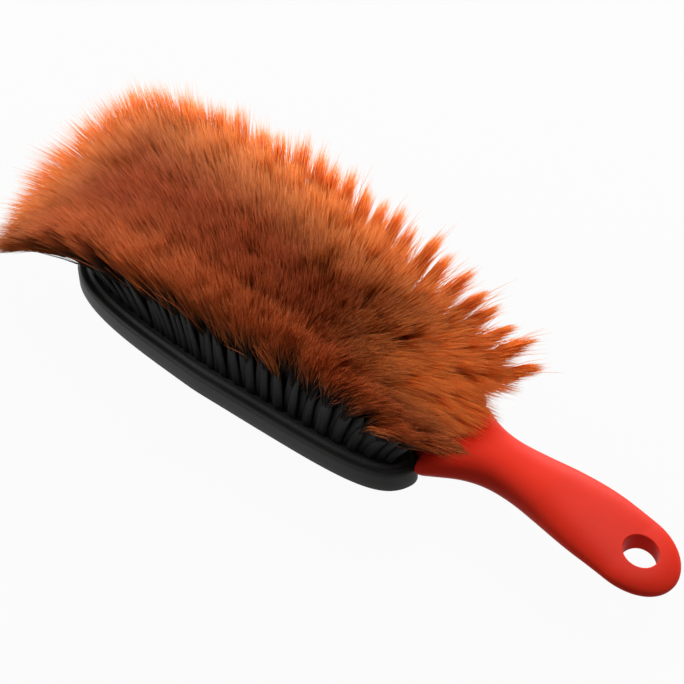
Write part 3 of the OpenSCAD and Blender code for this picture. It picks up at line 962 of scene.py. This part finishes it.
def hair_spots(roots):
    """How far out in the tufts a hair stands, towards the far side, the front or the rear, from
    0 to 1, and how near it is to the near row, from 0 to 1 and a little more towards the ends
    of that row. Both are eased shares of the way there, and they only colour the hair: the
    first marks where the hair gets a painted glow of the light from behind, and the second
    pales the near hair's brown, partly its own tan and partly painted light on its shaded side."""
    side = np.clip(roots[:, 1] / row_span(roots[:, 0]), -1, 1)
    front, rear = fan_shares(*roots.T)
    far = np.clip(side, 0, 1) ** (1.2 + 1.2 * front)
    behind = 0.9 * ease((rear - 0.15) / 0.65) * ease((side + 0.9) / 0.8)
    ahead = 0.9 * ease((front - 0.64) / 0.34) * (1 - 0.7 * ease((-side - 0.5) / 0.5))
    # outer is the mask of the painted glow: far, front and rear hairs are painted brighter, as if lit
    # from behind.
    outer = np.maximum(np.maximum(far, ahead), behind)
    # near also pales the brown of the near hair, partly with painted light on its shaded side.
    near = ease((-side - 0.3) / 0.6) * (1 + 0.4 * front + 0.5 * rear)
    return np.stack([outer, near], -1)


sample_roots = np.array([[0.0, 22.0], [0.0, -22.0]])
print("spots of a far and a near hair:", hair_spots(sample_roots).round(2).tolist())

# %% [markdown]
# ### From lines to tubes
# Three sides are enough for a hair, because its width on screen is less than a pixel. The
# rings of one hair are joined as a small grid, and the same faces serve every other hair with
# its own offset. Each row is one piece and stands for the same row of the solid model.

# %% Growing the rows
tip_thin = 0.5


def grown_hair(middles):
    """Points, faces and maps of the hairs of one row: tubes of three sides along the middle
    lines, closed at the foot and drawn to a point at the tip."""
    lines, s, tone, spots = hair_lines(middles)
    count = len(lines)
    ahead = lines[:, -1] - lines[:, 0]
    ahead = ahead / np.linalg.norm(ahead, axis=1)[:, None]
    across = np.cross(ahead, [0.31, 0.95, 0.0])
    across = across / np.linalg.norm(across, axis=1)[:, None]
    beside = np.cross(ahead, across)
    a = np.arange(3) * 2 * np.pi / 3 + chance.uniform(0, 2 * np.pi, (count, 1))
    ring = np.cos(a)[..., None] * across[:, None, :] + np.sin(a)[..., None] * beside[:, None, :]
    thick = hair_thick * (1 - tip_thin * np.linspace(0, 1, hair_rings + 1)[:-1])
    tube = lines[:, :-1, None, :] + ring[:, None, :, :] * thick[None, :, None, None]
    per = hair_rings * 3 + 1
    points = np.concatenate([tube.reshape(count, -1, 3), lines[:, -1:]], axis=1).reshape(-1, 3)
    offset = (np.arange(count) * per)[:, None, None]
    quads = (grid_quads(hair_rings, 3, closed=True)[None] + offset).reshape(-1, 4)
    crown = (hair_rings - 1) * 3 + np.array([[0, 1], [1, 2], [2, 0]])
    crown = np.concatenate([crown, np.full((3, 1), hair_rings * 3)], axis=1)
    ends = (crown[None] + offset).reshape(-1, 3)
    foot = (np.array([[2, 1, 0]])[None] + offset).reshape(-1, 3)
    along = np.concatenate([np.repeat(s[:, :-1], 3, axis=1), s[:, -1:]], axis=1)
    number = np.repeat(tone[:, None], per, axis=1)
    maps = {"Strands": np.stack([number, along], -1).reshape(-1, 2),
            "Spots": np.repeat(spots, per, axis=0)}
    return points, [quads, ends, foot], maps


for row, middles in enumerate(tufts, start=1):
    points, faces, maps = grown_hair(middles)
    hair = add_piece(f"hair_row_{row}", placed(points), faces, orange_hair, smooth=180, maps=maps)
    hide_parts(f"tuft_row_{row}")

# %% [markdown]
# ## Floor, light and camera
# The brush lies on a pale floor that runs out to white. Two wide soft lamps, one overhead and
# one low behind it, stand on the far side, so the near sides fall into shade and the far hair
# is lit from behind. A third at the front left brings out the wall of the block. The camera
# looks down on the brush from its near corner.

# %% Floor


def seen_straight(start):
    """1 for what the camera sees straight, in a mirror or through glass, and 0 for other light."""
    camera_ray = start.node("ShaderNodeLightPath", out="Is Camera Ray")
    seen = start.math("MAXIMUM", camera_ray, camera_ray.output("Is Glossy Ray"))
    return start.math("MAXIMUM", seen, camera_ray.output("Is Transmission Ray"))


floor_finish, shader, start = new_finish("pale_floor")
place = start.node("ShaderNodeTexCoord", out="Object")
speck = place.noise(20.0, 2.0)
wire_to(shader, "Base Color", speck.mixed(colour(152, 152, 152), colour(158, 158, 158)))
shader.inputs["Roughness"].default_value = 0.9
shader.inputs["Specular IOR Level"].default_value = 0.1
glow = start.node("ShaderNodeEmission", None, {"Color": (1, 1, 1, 1), "Strength": 1.0})
mixed_surface(shader, glow, seen_straight(start) * 0.95)

floor_half = 4.0
corner = np.array([[-1, -1, 0], [1, -1, 0], [1, 1, 0], [-1, 1, 0]]) * floor_half
mesh = bpy.data.meshes.new("floor")
mesh.from_pydata(corner.tolist(), [], [(0, 1, 2, 3)])
mesh.materials.append(floor_finish)
floor = bpy.data.objects.new("floor", mesh)
bpy.context.collection.objects.link(floor)
print("floor:", 2 * floor_half, "m wide")

# %% World and lamps
scene = bpy.context.scene
scene.view_settings.view_transform = "Standard"
world = bpy.data.worlds.new("studio")
world.use_nodes = True
scene.world = world
sky_light = 0.14
strength = seen_straight(Wire(world.node_tree)) * (1 - sky_light) + sky_light
backdrop = world.node_tree.nodes["Background"]
backdrop.inputs["Color"].default_value = (1, 1, 1, 1)
world.node_tree.links.new(strength.socket, backdrop.inputs["Strength"])


def soft_lamp(name, place, aim, wide, power):
    """A square lamp at a place, turned so that it shines on the aim."""
    data = bpy.data.lights.new(name, "AREA")
    data.size = wide
    data.energy = power
    lamp = bpy.data.objects.new(name, data)
    lamp.location = place
    lamp.rotation_euler = (Vector(aim) - Vector(place)).to_track_quat("-Z", "Y").to_euler()
    bpy.context.collection.objects.link(lamp)
    return lamp


soft_lamp("overhead", (0.16, 0.4, 0.78), (0.02, 0.0, 0.02), 0.45, 4.9)
soft_lamp("far_side", (-0.22, 0.8, 0.34), (0.0, 0.0, 0.02), 0.5, 6.6)
soft_lamp("front_left", (-0.8, -0.12, 0.3), (-0.02, 0.0, 0.02), 0.45, 6.4)

# %% Camera
camera_turn, camera_rise, camera_far, view_angle = 43.47, 43.12, 0.46212, 24.0
aim = placed([30.73, 0.0, 11.94])
turn, rise = math.radians(camera_turn), math.radians(camera_rise)
level = math.cos(rise)
view = np.array([-math.sin(turn) * level, math.cos(turn) * level, -math.sin(rise)])
data = bpy.data.cameras.new("photo_view")
data.sensor_fit = "HORIZONTAL"
data.angle = math.radians(view_angle)
data.clip_start = 0.01
camera = bpy.data.objects.new("photo_view", data)
camera.location = (aim - view * camera_far).tolist()
camera.rotation_euler = Vector(view).to_track_quat("-Z", "Y").to_euler()
bpy.context.collection.objects.link(camera)
scene.camera = camera
print("camera at", [round(c, 3) for c in camera.location])
